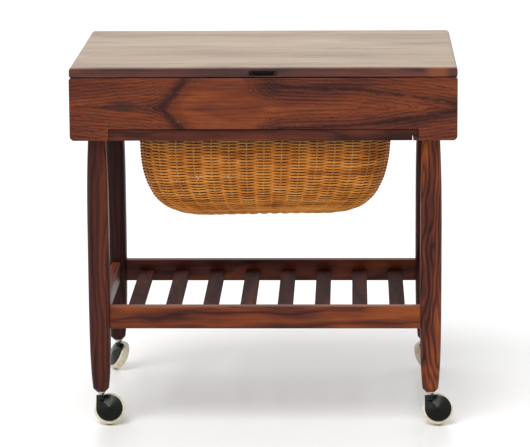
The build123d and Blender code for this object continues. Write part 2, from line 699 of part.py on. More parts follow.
# height of the wheel's face centre, so that its rounded back edge just meets the floor
HUB_Z = (WHEEL_WIDTH - WHEEL_EDGE) * sin(tilt) + (WHEEL_RADIUS - WHEEL_EDGE) * cos(tilt) + WHEEL_EDGE


def castor_frame(name):
    """The middle of a wheel's front face, its outward normal, its up and its right."""
    heading, hand = CASTORS[name]
    x, y = LEG_PLACES[name]
    ahead = Vector(cos(radians(heading)), sin(radians(heading)), 0)
    right = Vector(-ahead.Y, ahead.X, 0)
    hub = Vector(x, y, HUB_Z) + right * (hand * CASTOR_TRAIL) + ahead * CASTOR_LEAD
    normal = ahead * cos(tilt) + Vector(0, 0, sin(tilt))
    up = ahead * -sin(tilt) + Vector(0, 0, cos(tilt))
    return hub, normal, up, right, hand


for name, (x, y) in LEG_PLACES.items():
    hub, normal, up, right, hand = castor_frame(name)
    turn_plane = Plane(origin=hub, x_dir=up, z_dir=right)
    axle = Axis(hub, normal)

    with BuildPart() as wheel:
        with BuildSketch(turn_plane):
            with BuildLine():
                Polyline(
                    (AXLE_RADIUS + 0.05, -1.5),
                    (COVER_RADIUS - 4, -1.5),
                    (COVER_RADIUS - 2, 0),
                    (WHEEL_RADIUS, 0),
                    (WHEEL_RADIUS, -WHEEL_WIDTH),
                    (COVER_RADIUS - 2, -WHEEL_WIDTH),
                    (COVER_RADIUS - 4, -WHEEL_WIDTH + 2),
                    (9, -WHEEL_WIDTH + 2),
                    (8, -WHEEL_WIDTH),
                    (0, -WHEEL_WIDTH),
                    (0, -AXLE_DEPTH - 0.3),
                    (AXLE_RADIUS + 0.05, -AXLE_DEPTH - 0.3),
                    close=True,
                )
            make_face()
        revolve(axis=axle)
        rims = wheel.edges().filter_by(GeomType.CIRCLE)
        rims = rims.filter_by(lambda e: abs(e.radius - WHEEL_RADIUS) < 0.01)
        fillet(rims, WHEEL_EDGE)
    save(wheel, f"castor_wheel_{name}")

    cover_plane = Plane(origin=hub + normal * COVER_GAP, x_dir=right, z_dir=normal)
    peak = hub + normal * (COVER_GAP + COVER_PLATE + COVER_PEAK)
    corner_x = -hand * COVER_RADIUS
    with BuildSketch(cover_plane) as outline:
        Circle(COVER_RADIUS)
        with Locations((corner_x / 2, COVER_RADIUS / 2)):
            Rectangle(COVER_RADIUS, COVER_RADIUS)
        tip = outline.vertices().sort_by_distance(cover_plane.from_local_coords((corner_x, COVER_RADIUS)))[0]
        fillet(tip, 3.0)
    with BuildPart() as hood:
        extrude(outline.sketch, amount=COVER_PLATE)
        front_face = hood.faces().sort_by(axle)[-1]
        loft([front_face, Vertex(*peak)])
        with BuildSketch(Plane(origin=(x, y, BOSS_LOW))):
            Circle(BOSS_RADIUS)
        extrude(amount=BOSS_TOP - BOSS_LOW)
        with BuildSketch(turn_plane):
            with BuildLine():
                Polyline(
                    (0, COVER_GAP + 1),
                    (AXLE_RADIUS + 3, COVER_GAP + 1),
                    (AXLE_RADIUS + 3, -1.0),
                    (AXLE_RADIUS, -1.0),
                    (AXLE_RADIUS, -AXLE_DEPTH),
                    (0, -AXLE_DEPTH),
                    close=True,
                )
            make_face()
        revolve(axis=axle)
        with Locations(Pos(x, y, PINTLE_LOW - 0.3)):
            Cylinder(
                PINTLE_RADIUS + 0.06,
                20,
                align=(Align.CENTER, Align.CENTER, Align.MIN),
                mode=Mode.SUBTRACT,
            )
    save(hood, f"castor_hood_{name}")

with BuildPart() as castor_stems:
    for x, y in LEG_PLACES.values():
        with BuildSketch(Plane.XZ.offset(-y)):
            with BuildLine():
                Polyline(
                    (x, PINTLE_LOW),
                    (x + PINTLE_RADIUS, PINTLE_LOW),
                    (x + PINTLE_RADIUS, COLLAR_BOTTOM),
                    (x + 3.4, COLLAR_BOTTOM),
                    (x + 6.4, LEG_TIP_Z - 2.0),
                    (x + 6.4, LEG_TIP_Z),
                    (x + STEM_RADIUS, LEG_TIP_Z),
                    (x + STEM_RADIUS, STEM_TOP),
                    (x, STEM_TOP),
                    close=True,
                )
            make_face()
        revolve(axis=Axis((x, y, 0), (0, 0, 1)))
save(castor_stems, "castor_stems")
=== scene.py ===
"""Looks of the sewing box with trays: materials on the CAD pieces, the woven basket, light and camera."""

import math
import random

import bpy
from mathutils import Matrix, Vector, noise


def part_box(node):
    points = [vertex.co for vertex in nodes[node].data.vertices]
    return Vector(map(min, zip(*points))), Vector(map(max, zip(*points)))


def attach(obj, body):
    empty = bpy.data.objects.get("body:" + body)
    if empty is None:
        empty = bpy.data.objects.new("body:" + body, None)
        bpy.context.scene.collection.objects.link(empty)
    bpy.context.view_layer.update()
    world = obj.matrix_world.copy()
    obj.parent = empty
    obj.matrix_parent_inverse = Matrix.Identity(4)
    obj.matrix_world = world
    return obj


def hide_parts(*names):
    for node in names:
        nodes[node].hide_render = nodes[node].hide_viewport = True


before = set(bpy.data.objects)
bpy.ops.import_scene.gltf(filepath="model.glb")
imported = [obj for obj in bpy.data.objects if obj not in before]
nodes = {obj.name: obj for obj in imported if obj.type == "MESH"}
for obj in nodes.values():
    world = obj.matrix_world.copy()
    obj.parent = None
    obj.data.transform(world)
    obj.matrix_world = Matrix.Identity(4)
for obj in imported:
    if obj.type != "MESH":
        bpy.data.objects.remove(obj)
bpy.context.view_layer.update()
MM = 0.001
rng = random.Random(7)
SEED_STEP = (1.37, 0.71, 0.53)  # how far one unit of seed moves a board's grain, in metres


# ------------------------------------------------------------------ node helpers
class Tree:
    """Short calls for building one material's nodes."""

    def __init__(self, name):
        self.mat = bpy.data.materials.new(name)
        self.mat.use_nodes = True
        self.tree = self.mat.node_tree
        self.tree.nodes.clear()
        self.coords = self.node("ShaderNodeTexCoord").outputs["Object"]

    def node(self, kind, inputs=None, **props):
        n = self.tree.nodes.new(kind)
        for key, value in props.items():
            setattr(n, key, value)
        for key, value in (inputs or {}).items():
            if isinstance(value, bpy.types.NodeSocket):
                self.tree.links.new(value, n.inputs[key])
            else:
                n.inputs[key].default_value = value
        return n

    def math(self, op, a, b=0.0, c=0.0, clamp=False):
        n = self.node("ShaderNodeMath", {0: a, 1: b, 2: c}, operation=op, use_clamp=clamp)
        return n.outputs[0]

    def vec(self, op, a, b):
        return self.node("ShaderNodeVectorMath", {0: a, 1: b}, operation=op).outputs[0]

    def split(self, v):
        return self.node("ShaderNodeSeparateXYZ", {0: v}).outputs

    def join(self, x, y, z):
        return self.node("ShaderNodeCombineXYZ", {0: x, 1: y, 2: z}).outputs[0]

    def noise(self, v, scale, detail=3.0, rough=0.55, distortion=0.0):
        """Noise from 0 to 1 whose size differs along each axis: scale is three cycles per metre."""
        scaled = self.vec("MULTIPLY", v, scale)
        inputs = {"Vector": scaled, "Scale": 1.0, "Detail": detail, "Roughness": rough}
        return self.node("ShaderNodeTexNoise", {**inputs, "Distortion": distortion}).outputs[0]

    def swing(self, v, size):
        """A value from 0 to 1 as a swing of that size about zero."""
        return self.math("MULTIPLY_ADD", v, size, -size / 2)

    def ramp(self, fac, stops, interpolation="LINEAR"):
        """stops are (position, grey or rgb)."""
        n = self.node("ShaderNodeValToRGB", {0: fac})
        n.color_ramp.interpolation = interpolation
        elements = n.color_ramp.elements
        while len(elements) < len(stops):
            elements.new(0.5)
        for e, (pos, value) in zip(elements, stops):
            e.position = pos
            e.color = (*value, 1.0) if isinstance(value, tuple) else (value, value, value, 1.0)
        return n.outputs[0]

    def smooth(self, v, low, high, out_low=0.0, out_high=1.0):
        """A soft step: out_low below low, out_high above high."""
        inputs = {0: v, 1: low, 2: high, 3: out_low, 4: out_high}
        n = self.node("ShaderNodeMapRange", inputs, interpolation_type="SMOOTHSTEP", clamp=True)
        return n.outputs[0]

    def near(self, v, centre, inner, outer):
        """1 within inner of the centre, fading to 0 at outer."""
        away = self.math("ABSOLUTE", self.math("SUBTRACT", v, centre))
        return self.math("SUBTRACT", 1.0, self.smooth(away, inner, outer))

    def mix(self, fac, a, b):
        n = self.node("ShaderNodeMix", data_type="RGBA")
        for key, value in ((0, fac), (6, a), (7, b)):
            if isinstance(value, bpy.types.NodeSocket):
                self.tree.links.new(value, n.inputs[key])
            elif key == 0:
                n.inputs[key].default_value = value
            else:
                n.inputs[key].default_value = (*value, 1.0)
        return n.outputs[2]

    def curve(self, v, points):
        """A free curve through points, both axes from 0 to 1."""
        n = self.node("ShaderNodeFloatCurve", {1: v})
        pts = n.mapping.curves[0].points
        while len(pts) < len(points):
            pts.new(0.5, 0.5)
        for p, (x, y) in zip(pts, points):
            p.location = (x, y)
        n.mapping.update()
        return n.outputs[0]

    def finish(self, color, roughness, height=None, depth=0.0003, strength=0.5, **sockets):
        """Principled shader and output. Uniform values in sockets go straight on the shader."""
        shader = self.node("ShaderNodeBsdfPrincipled", {"Base Color": color, "Roughness": roughness})
        for key, value in sockets.items():
            shader.inputs[key.replace("_", " ")].default_value = value
        if height is not None:
            inputs = {"Height": height, "Distance": depth, "Strength": strength}
            self.tree.links.new(self.node("ShaderNodeBump", inputs).outputs[0], shader.inputs["Normal"])
        out = self.node("ShaderNodeOutputMaterial")
        self.tree.links.new(shader.outputs[0], out.inputs[0])
        return self.mat


# ------------------------------------------------------------------ woods
DARK = (0.020, 0.006, 0.005)
PLUM = (0.058, 0.014, 0.010)
BROWN = (0.115, 0.026, 0.012)
RUST = (0.195, 0.043, 0.013)
ORANGE = (0.330, 0.086, 0.017)
BEECH, BEECH_DARK = (0.62, 0.43, 0.25), (0.42, 0.25, 0.12)
RING_TONES = [(0.0, 0.12), (0.10, 0.45), (0.45, 0.85), (0.80, 0.60), (0.93, 0.20), (1.0, 0.12)]


def along(t, grain, seed):
    """Coordinates with X along the grain, moved off by a seed so that boards differ."""
    x, y, z = t.split(t.coords)
    order = {"X": (x, y, z), "Y": (y, z, x), "Z": (z, x, y)}[grain]
    return t.vec("ADD", t.join(*order), tuple(seed * step for step in SEED_STEP))


def fibres(t, p):
    """Fine streaks and pores of the wood: (streaks from 0 to 1, pores from 0 to 1)."""
    streaks = t.noise(p, (9, 330, 330), 6, 0.66)
    pores = t.noise(p, (45, 1500, 1500), 2, 0.5)
    return streaks, t.smooth(pores, 0.60, 0.72)


def grain_value(t, p, wander, ring_pitch):
    """Growth rings cut by the board, from 0 dark to 1 light."""
    push = t.noise(p, (3.2, 13, 13), 3, 0.5)
    _, y, z = t.split(p)
    swing = t.math("MULTIPLY", t.math("SUBTRACT", push, 0.5), wander)
    across = t.math("ADD", y, swing)
    through = t.math("ADD", t.math("MULTIPLY", z, 0.55), swing)
    squares = [t.math("POWER", t.math("ABSOLUTE", v), 2.0) for v in (across, through)]
    radius = t.math("SQRT", t.math("ADD", *squares))
    rings = t.math("FRACT", t.math("DIVIDE", radius, ring_pitch))
    return t.ramp(rings, RING_TONES, "EASE")


def oiled(t, color, streaks, pores, rough, gloss):
    """The finish of every rosewood: pores are small dents, and the streaks vary the gloss."""
    surface = t.math("MULTIPLY_ADD", pores, -0.7, streaks)
    roughness = t.math("MULTIPLY_ADD", streaks, 0.14, rough)
    return t.finish(color, roughness, surface, 0.0003, 0.35, Specular_IOR_Level=gloss)


def rosewood(
    name, grain, seed, wander, ring_pitch, warmth_and_shade, contrast=1.0, rough=0.35, gloss=0.16, shift=None
):
    """Oiled rosewood: dark rings, plum to orange bands, pores and a satin surface.

    shift is a change of tone along the grain: (from, to, tone there, tone here) in metres.
    """
    t = Tree(name)
    p = along(t, grain, seed)
    streaks, pores = fibres(t, p)
    rings = grain_value(t, p, wander, ring_pitch)
    cloud = t.noise(p, (3.0, 22, 22), 3, 0.55, 0.6)
    value = t.math("MULTIPLY_ADD", rings, 0.34 * contrast, t.math("MULTIPLY", streaks, 0.46))
    value = t.math("ADD", value, t.math("MULTIPLY_ADD", cloud, 0.95 * contrast, -0.475 * contrast + warmth_and_shade))
    if shift:
        place = t.math("ADD", t.split(p)[0], -seed * SEED_STEP[0])
        place = t.math("ADD", place, t.swing(cloud, 0.16))
        value = t.math("ADD", value, t.smooth(place, *shift))
    color = t.ramp(value, [(0.10, DARK), (0.30, PLUM), (0.45, BROWN), (0.60, RUST), (0.82, ORANGE)])
    color = t.mix(t.math("MULTIPLY", pores, 0.55), color, DARK)
    return oiled(t, color, streaks, pores, rough, gloss)


def pale_wood(name, grain, seed):
    """Beech: light and fine-grained."""
    t = Tree(name)
    p = along(t, grain, seed)
    streaks, pores = fibres(t, p)
    rings = grain_value(t, p, 0.03, 0.011)
    value = t.math("MULTIPLY_ADD", rings, 0.35, t.math("MULTIPLY", streaks, 0.65))
    color = t.ramp(value, [(0.15, BEECH_DARK), (0.75, BEECH)])
    color = t.mix(t.math("MULTIPLY", pores, 0.35), color, BEECH_DARK)
    roughness = t.math("MULTIPLY_ADD", streaks, 0.12, 0.39)
    return t.finish(color, roughness, streaks, 0.0002, 0.3)


# The front's figure, in mm: x from the board's middle, z from the floor.
FRONT_LENGTH = 600.0
LINE_Z = 514.0  # the height about which the main growth line is mirrored
LINE_LOW, LINE_SPAN = -30.0, 110.0  # the range of its half height
LINE_ROUND = 3.0  # how softly its two halves meet
LEVELS = 120.0  # the width of level that the tables below cover
GROWTH_LINE = (  # half height of the main growth line, as (x, half height)
    (-300, -24), (-235, -17), (-184, -12), (-164, -7), (-154, 1), (-140, 16), (-124, 34),
    (-108, 52), (-78, 68), (-48, 70), (-20, 62), (-4, 48), (8, 35), (22, 30), (80, 27),
    (140, 25), (180, 20.5), (220, 14.6), (262, 8.5), (300, 2.5),
)
TONES = ((-50, 0.47), (-24, 0.50), (-13, 0.43), (-4, 0.30), (5, 0.38), (16, 0.48), (34, 0.61))
V_LINES = (  # the dark lines of the V, as (mm from the main line, darkness)
    (-15, 0.0), (-12.5, 0.7), (-10.5, 0.1), (-7.4, 0.8), (-5.4, 0.3),
    (-2.4, 1.0), (1.6, 1.0), (3.2, 0.35), (5.4, 0.8), (8, 0.0),
)
THIN_LINE = ((-2.2, 0.0), (-0.8, 1.0), (0.8, 1.0), (2.2, 0.0))
# (x, z, squash, reach, depth): arcs under the finger pull, and fainter ones at the lower edge
SWIRLS = ((2.0, 560.0, 1.0, 38.0, 0.62), (14.0, 472.0, 1.3, 30.0, 0.5))
SWIRL_PITCH = 5.1
RING_PITCH = 5.2
SMUDGE = (0.030, 0.016, 0.013)


def figured_front():
    """The box's full-width front: a dark V on the left, a long lens on the right and swirls between."""
    t = Tree("rosewood_front")
    p = along(t, "X", 3.1)
    streaks, pores = fibres(t, p)
    x, _, z = t.split(t.coords)
    wobble = t.swing(t.noise(t.coords, (14, 10, 30), 3, 0.5), 12.0)
    ripple = t.swing(t.noise(t.coords, (110, 10, 210), 4, 0.6), 7.0)
    jag = t.swing(t.noise(t.coords, (34, 10, 85), 4, 0.62), 22.0)
    xm = t.math("ADD", t.math("MULTIPLY_ADD", x, 1000.0, jag), t.math("MULTIPLY", wobble, 0.6))
    zm = t.math("MULTIPLY_ADD", z, 1000.0, t.math("MULTIPLY", wobble, 0.35))
    fraction = t.math("MULTIPLY_ADD", xm, 1 / FRONT_LENGTH, 0.5, clamp=True)
    points = [((a + FRONT_LENGTH / 2) / FRONT_LENGTH, (b - LINE_LOW) / LINE_SPAN) for a, b in GROWTH_LINE]
    line = t.curve(fraction, points)
    off = t.math("SUBTRACT", zm, LINE_Z)
    off = t.math("SQRT", t.math("MULTIPLY_ADD", off, off, LINE_ROUND * LINE_ROUND))
    off = t.math("SUBTRACT", off, LINE_ROUND)
    # mm inside the main growth line, or outside it where negative
    level = t.math("SUBTRACT", t.math("MULTIPLY_ADD", line, LINE_SPAN, LINE_LOW), off)
    level = t.math("ADD", level, ripple)
    # growth rings follow the level and fade out in the plain middle
    fade = t.smooth(level, 14.0, 34.0, 1.0, 0.15)
    rings = t.math("FRACT", t.math("MULTIPLY_ADD", level, 1 / RING_PITCH, t.math("MULTIPLY", streaks, 0.9)))
    rings = t.ramp(rings, [(0.0, 0.0), (0.16, 0.75), (0.5, 1.0), (0.82, 0.8), (1.0, 0.0)], "EASE")
    rings = t.math("MULTIPLY", t.math("SUBTRACT", rings, 0.75), fade)
    unit = t.math("MULTIPLY_ADD", level, 1 / LEVELS, 0.5)
    tone, lines, thin = (
        t.ramp(unit, [(mm / LEVELS + 0.5, value) for mm, value in table], "EASE")
        for table in (TONES, V_LINES, THIN_LINE)
    )
    v_place = t.near(xm, -142.0, 12.0, 46.0)
    lens_place = t.smooth(xm, 4.0, 30.0)
    broken = t.smooth(t.noise(t.coords, (30, 10, 60), 3, 0.6), 0.32, 0.52)
    thin = t.math("MULTIPLY", t.math("MULTIPLY", thin, lens_place), broken)
    v_dark = t.math("MULTIPLY", v_place, t.math("MULTIPLY_ADD", streaks, 1.1, 0.30), clamp=True)
    dark = t.math("MULTIPLY_ADD", lines, v_dark, t.math("MULTIPLY", thin, 0.95))
    for cx, cz, squash, reach, depth in SWIRLS:
        dx = t.math("SUBTRACT", xm, cx)
        dz = t.math("MULTIPLY", t.math("SUBTRACT", zm, cz), squash)
        radius = t.math("SQRT", t.math("MULTIPLY_ADD", dx, dx, t.math("MULTIPLY", dz, dz)))
        radius = t.math("ADD", radius, t.math("MULTIPLY", ripple, 1.1))
        arcs = t.math("FRACT", t.math("MULTIPLY", radius, 1 / SWIRL_PITCH))
        arcs = t.ramp(arcs, [(0.0, 1.0), (0.22, 0.35), (0.6, 0.05), (1.0, 1.0)], "EASE")
        window = t.smooth(radius, reach - 12.0, reach, 1.0, 0.0)
        dark = t.math("MULTIPLY_ADD", t.math("MULTIPLY", arcs, window), depth, dark, clamp=True)
    # the smudge left of the V with its tail, and a dim streak along the plain middle
    sx = t.math("DIVIDE", t.math("ADD", xm, 217.0), 19.0)
    sz = t.math("DIVIDE", t.math("SUBTRACT", zm, 517.0), 7.0)
    smudge = t.math("MULTIPLY_ADD", sx, sx, t.math("MULTIPLY", sz, sz))
    ragged = t.math("MULTIPLY_ADD", streaks, 2.2, t.math("SUBTRACT", smudge, 1.1))
    smudge = t.math("SUBTRACT", 1.0, t.smooth(ragged, 0.1, 2.6))
    tail = t.math("MULTIPLY", t.smooth(xm, -225.0, -245.0), t.smooth(xm, -292.0, -265.0))
    tail = t.math("MULTIPLY", tail, t.near(zm, LINE_Z, 1.0, 4.0))
    middle = t.math("MULTIPLY", t.smooth(xm, -118.0, -80.0), t.smooth(xm, 20.0, -15.0))
    middle = t.math("MULTIPLY", middle, t.near(zm, 513.0, 3.0, 15.0))
    cloud = t.noise(p, (5, 36, 36), 4, 0.6, 0.6)
    value = t.math("MULTIPLY_ADD", rings, 0.26, tone)
    value = t.math("ADD", value, t.swing(streaks, 0.90))
    value = t.math("ADD", value, t.swing(cloud, 0.70))
    value = t.math("SUBTRACT", value, t.math("MULTIPLY", middle, 0.12))
    value = t.math("SUBTRACT", value, t.math("MULTIPLY", tail, 0.14))
    color = t.ramp(value, [(0.05, DARK), (0.25, PLUM), (0.42, BROWN), (0.60, RUST), (0.88, ORANGE)])
    color = t.mix(t.math("MULTIPLY", smudge, 0.70), color, SMUDGE)
    color = t.mix(t.math("MULTIPLY", dark, 0.92, clamp=True), color, DARK)
    color = t.mix(t.math("MULTIPLY", pores, 0.6), color, DARK)
    return oiled(t, color, streaks, pores, 0.33, 0.18)


FADED_DARK, FADED, FADED_LIGHT = (0.10, 0.055, 0.027), (0.27, 0.175, 0.100), (0.42, 0.31, 0.20)
STAIN = (0.11, 0.055, 0.024)


def faded_lid():
    """The lid: sun-faded on top, dark red-brown at its edges with one orange patch at the right."""
    t = Tree("rosewood_lid")
    p = along(t, "X", 1.3)
    streaks, pores = fibres(t, p)
    rings = grain_value(t, p, 0.05, 0.016)
    cloud = t.noise(p, (2.2, 10, 10), 3, 0.5, 0.4)
    x, y, _ = t.split(t.coords)
    up = t.split(t.node("ShaderNodeTexCoord").outputs["Normal"])[2]
    top = t.smooth(t.math("MULTIPLY_ADD", streaks, 0.08, up), 0.62, 0.93)
    value = t.math("MULTIPLY_ADD", rings, 0.22, t.math("MULTIPLY", streaks, 0.45))
    value = t.math("ADD", value, t.math("MULTIPLY_ADD", cloud, 0.9, -0.32))
    stains = t.noise(p, (4.0, 30, 30), 4, 0.65, 1.0)
    stains = t.math("MULTIPLY", t.smooth(stains, 0.50, 0.72), t.smooth(x, -0.15, 0.15, 0.5, 1.0))
    pale = t.ramp(value, [(0.12, FADED_DARK), (0.42, FADED), (0.72, FADED_LIGHT)])
    pale = t.mix(t.math("MULTIPLY", stains, 0.75), pale, STAIN)
    edge_value = t.math("ADD", t.math("MULTIPLY_ADD", value, 1.5, -0.36), t.swing(streaks, 0.5))
    edge = t.ramp(edge_value, [(0.10, DARK), (0.32, PLUM), (0.56, BROWN), (0.85, RUST)])
    right_end = t.math("SUBTRACT", 1.0, t.smooth(x, 0.277, 0.290))
    patch = t.math("MULTIPLY", t.smooth(x, 0.243, 0.262), right_end)
    patch = t.math("MULTIPLY", patch, t.smooth(y, -0.203, -0.208))  # on the front edge only
    edge = t.mix(t.math("MULTIPLY", patch, 0.50), edge, ORANGE)
    color = t.mix(top, edge, pale)
    color = t.mix(t.math("MULTIPLY", pores, 0.35), color, PLUM)
    return oiled(t, color, streaks, pores, 0.30, 0.45)


def plain(name, color, tint, rough, scale, metal=0.0):
    """A moulded or metal surface with mottled colour, uneven gloss and a slight texture."""
    t = Tree(name)
    mottle = t.noise(t.coords, (scale, scale, scale), 4, 0.6)
    fine = t.noise(t.coords, (scale * 9, scale * 9, scale * 9), 3, 0.5)
    shade = t.mix(t.smooth(mottle, 0.35, 0.75), color, tint)
    spread = 0.06
    roughness = t.math("MULTIPLY_ADD", mottle, spread * 2, rough - spread)
    roughness = t.math("ADD", roughness, t.math("MULTIPLY", fine, 0.04))
    return t.finish(shade, roughness, fine, 0.0002, 0.25, Metallic=metal)


CANE_TONES = [
    (0.30, (0.17, 0.046, 0.009)),
    (0.44, (0.42, 0.135, 0.022)),
    (0.56, (0.62, 0.235, 0.038)),
    (0.78, (0.80, 0.40, 0.11)),
]
HIGH_ROWS_GREY, CREVICE = (0.16, 0.105, 0.060), (0.10, 0.04, 0.012)
GREY_FROM, GREY_TO = 0.440, 0.464  # the heights between which the rows turn grey


def cane():
    """Golden cane: each row its own tone, greyer high up, with fibres along the weaver."""
    t = Tree("cane")
    z = t.split(t.coords)[2]
    row_tone = t.noise(t.coords, (9, 9, 420), 2, 0.5)
    patch = t.noise(t.coords, (26, 26, 34), 4, 0.6)
    fibre = t.noise(t.coords, (120, 120, 2600), 2, 0.5)
    value = t.math("MULTIPLY_ADD", row_tone, 0.6, t.math("MULTIPLY", patch, 0.45))
    color = t.ramp(value, CANE_TONES)
    # the top rows, just under the rail, are mixed towards a darker grey-brown
    high_rows = t.smooth(z, GREY_FROM, GREY_TO)
    color = t.mix(t.math("MULTIPLY", high_rows, 0.6), color, HIGH_ROWS_GREY)
    color = t.mix(t.smooth(fibre, 0.45, 0.9, 0.0, 0.35), color, CREVICE)
    roughness = t.math("MULTIPLY_ADD", fibre, 0.2, 0.44)
    return t.finish(color, roughness, fibre, 0.0002, 0.35, Specular_IOR_Level=0.14)


def stake_cane():
    """The paler upright stakes that show between the rows."""
    t = Tree("stake_cane")
    fibre = t.noise(t.coords, (900, 900, 90), 3, 0.5)
    color = t.ramp(fibre, [(0.3, (0.42, 0.27, 0.13)), (0.7, (0.72, 0.55, 0.35))])
    roughness = t.math("MULTIPLY_ADD", fibre, 0.2, 0.5)
    return t.finish(color, roughness, fibre, 0.0002, 0.3, Specular_IOR_Level=0.05)


def castor_black():
    """Black glossy enamel with faint radial polishing marks."""
    t = Tree("castor_black")
    mottle = t.noise(t.coords, (160, 160, 160), 3, 0.6)
    fine = t.noise(t.coords, (1400, 300, 1400), 3, 0.6)
    color = t.mix(mottle, (0.004, 0.005, 0.004), (0.012, 0.013, 0.010))
    roughness = t.math("MULTIPLY_ADD", mottle, 0.12, 0.20)
    return t.finish(color, roughness, fine, 0.0001, 0.2, Specular_IOR_Level=0.22)


def paint(name, material):
    """Gives a CAD node one material on all its faces."""
    data = nodes[name].data
    data.materials.clear()
    data.materials.append(material)


# ------------------------------------------------------------------ materials on the CAD nodes
paint("lid_panel", faded_lid())
paint("front_panel", figured_front())
BOARD_PITCH = 0.008
BOARDS = {  # name: (grain, seed, wander of the rings, warmth; on the back legs partly painted shade)
    "back_panel": ("X", 5.2, 0.04, 0.0),
    "left_panel": ("Y", 6.1, 0.05, 0.0),
    "right_panel": ("Y", 7.7, 0.05, 0.0),
    "shelf_front_rail": ("X", 2.3, 0.03, 0.10),
    "shelf_back_rail": ("X", 4.4, 0.03, -0.06),
    "shelf_left_rail": ("Y", 8.2, 0.03, -0.04),
    "shelf_right_rail": ("Y", 9.9, 0.03, -0.04),
    "slide_front_rail": ("X", 12.6, 0.02, -0.09),
    "slide_back_rail": ("X", 13.4, 0.02, -0.06),
    "bearer_left": ("Y", 14.2, 0.03, -0.04),
    "bearer_right": ("Y", 15.8, 0.03, -0.04),
    "runner_left": ("Y", 16.4, 0.02, -0.10),
    "runner_right": ("Y", 17.1, 0.02, -0.10),
    "leg_front_left": ("Z", 21.3, 0.05, -0.05),
    "leg_front_right": ("Z", 22.9, 0.10, 0.0),
    # the back legs are set much darker partly as painted shade for the shadow under the box; the rest is
    # their own tone
    "leg_back_left": ("Z", 23.6, 0.05, -0.22),
    "leg_back_right": ("Z", 24.2, 0.05, -0.16),
}
# a change of warmth along the board, and stronger or weaker figure than the rest
SHIFT = {"leg_front_right": (0.33, 0.43, -0.03, 0.16), "shelf_front_rail": (-0.10, 0.22, -0.01, 0.08)}
CONTRAST = {"leg_front_right": 1.45, "leg_front_left": 0.75, "leg_back_left": 0.6, "shelf_front_rail": 1.15}
for name, (grain, seed, wander, warmth_and_shade) in BOARDS.items():
    options = {"contrast": CONTRAST.get(name, 1.0), "shift": SHIFT.get(name)}
    paint(name, rosewood("rosewood_" + name, grain, seed, wander, BOARD_PITCH, warmth_and_shade, **options))
for i in range(1, 9):
    material = rosewood(f"rosewood_slat_{i}", "Y", 30 + i * 1.7, 0.03, 0.006, -0.10, 0.7, 0.53, 0.05)
    paint(f"shelf_slat_{i}", material)
PALE = {  # name: (grain, seed)
    "tray_left": ("Y", 41.0),
    "tray_right": ("Y", 42.0),
    "tray_dividers_left": ("Y", 43.0),
    "tray_divider_right": ("X", 44.0),
    "spool_pegs": ("Z", 45.0),
    "tray_ledge_front": ("X", 46.0),
    "tray_ledge_back": ("X", 47.0),
    "well_dividers": ("Y", 48.0),
    "slide_stop": ("X", 51.0),
    "bottom_panel": ("X", 52.0),
    "slide_plate": ("X", 53.0),
    "basket_hoop": ("X", 54.0),
}
for name, (grain, seed) in PALE.items():
    paint(name, pale_wood("pale_" + name, grain, seed))
paint("pull_insert", rosewood("pull_dark", "X", 61.0, 0.01, 0.004, -0.50, 0.5, 0.25, 0.12))
paint("pull_pin", plain("bronze", (0.13, 0.055, 0.035), (0.05, 0.025, 0.02), 0.35, 400, 0.7))
brass = plain("brass", (0.62, 0.42, 0.17), (0.40, 0.25, 0.10), 0.30, 220, 1.0)
for name in ("hinge_leaf_box", "hinge_leaf_lid", "hinge_pins", "hinge_screws_box", "hinge_screws_lid"):
    paint(name, brass)
paint("leg_bolts", plain("steel", (0.42, 0.42, 0.42), (0.25, 0.25, 0.26), 0.34, 240, 1.0))
paint("castor_stems", plain("nickel", (0.60, 0.56, 0.50), (0.38, 0.35, 0.31), 0.24, 300, 1.0))
hood_paint = castor_black()
tyre_paint = plain("tyre", (0.82, 0.76, 0.60), (0.66, 0.57, 0.40), 0.42, 150)
for corner in ("front_left", "front_right", "back_left", "back_right"):
    paint("castor_hood_" + corner, hood_paint)
    paint("castor_wheel_" + corner, tyre_paint)

# ------------------------------------------------------------------ the woven basket
low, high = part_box("basket")
CENTRE_Y = (low.y + high.y) / 2
SKIN = 3.5 * MM  # from the CAD shell's outside to the middle of the weave
HALF_X = (high.x - low.x) / 2 - SKIN
HALF_Y = (high.y - low.y) / 2 - SKIN
TOP_Z = high.z
BOTTOM_Z = low.z + SKIN
CURVE_Z = 460 * MM  # below this the sides turn in
TURN = 88 * MM - SKIN  # how far they turn in
FULLNESS = 2.4  # the power of the curve that they follow; 2 is an ellipse
PROFILE_STEPS = 240  # points along that curve
CORNER = 60 * MM - SKIN  # corner radius in plan, at the top
CORNER_LOSS = 0.25  # how much of the turn-in it loses
STAKES = 46
STAKE_RADIUS = 1.4 * MM
STICKS = 7  # long sticks in the bottom
STICK_RADIUS = 1.7 * MM
ROW_PITCH = 2.4 * MM
ROW_RADIUS = 1.55 * MM
ROW_FLAT = 0.72  # a row's thickness over its height
ROW_SQUARE = 0.75  # below 1, a row lies longer against each stake's front or back
WIDEN, WIDEN_BACK = 0.36, 0.32  # how much fatter the rows get as the side turns under
WEAVE = 2.0 * MM  # how far a row swings in and out
STEPS = 8  # points of a row from one stake to the next
TUCK = 6 * MM  # how far the bottom's rows run on inside the turned-in sides
SIDES = 6  # flats round a rod
DOWN = Vector((0, 0, -1))


def profile():
    """The basket's side as evenly spaced (inward, z, outward tilt) along its curve, from the top."""
    points = [(0.0, TOP_Z)]
    for i in range(PROFILE_STEPS + 1):
        a = math.radians(90 * i / PROFILE_STEPS)
        inward = TURN * (1 - max(math.cos(a), 0.0) ** (2 / FULLNESS))
        points.append((inward, CURVE_Z - (CURVE_Z - BOTTOM_Z) * math.sin(a) ** (2 / FULLNESS)))
    result = []
    walked, wanted = 0.0, ROW_PITCH / 2
    for (i0, z0), (i1, z1) in zip(points, points[1:]):
        step = math.hypot(i1 - i0, z1 - z0)
        while step and walked + step >= wanted:
            f = (wanted - walked) / step
            tilt = math.atan2(i1 - i0, z0 - z1)
            result.append((i0 + (i1 - i0) * f, z0 + (z1 - z0) * f, tilt))
            wanted += ROW_PITCH
        walked += step
    return result


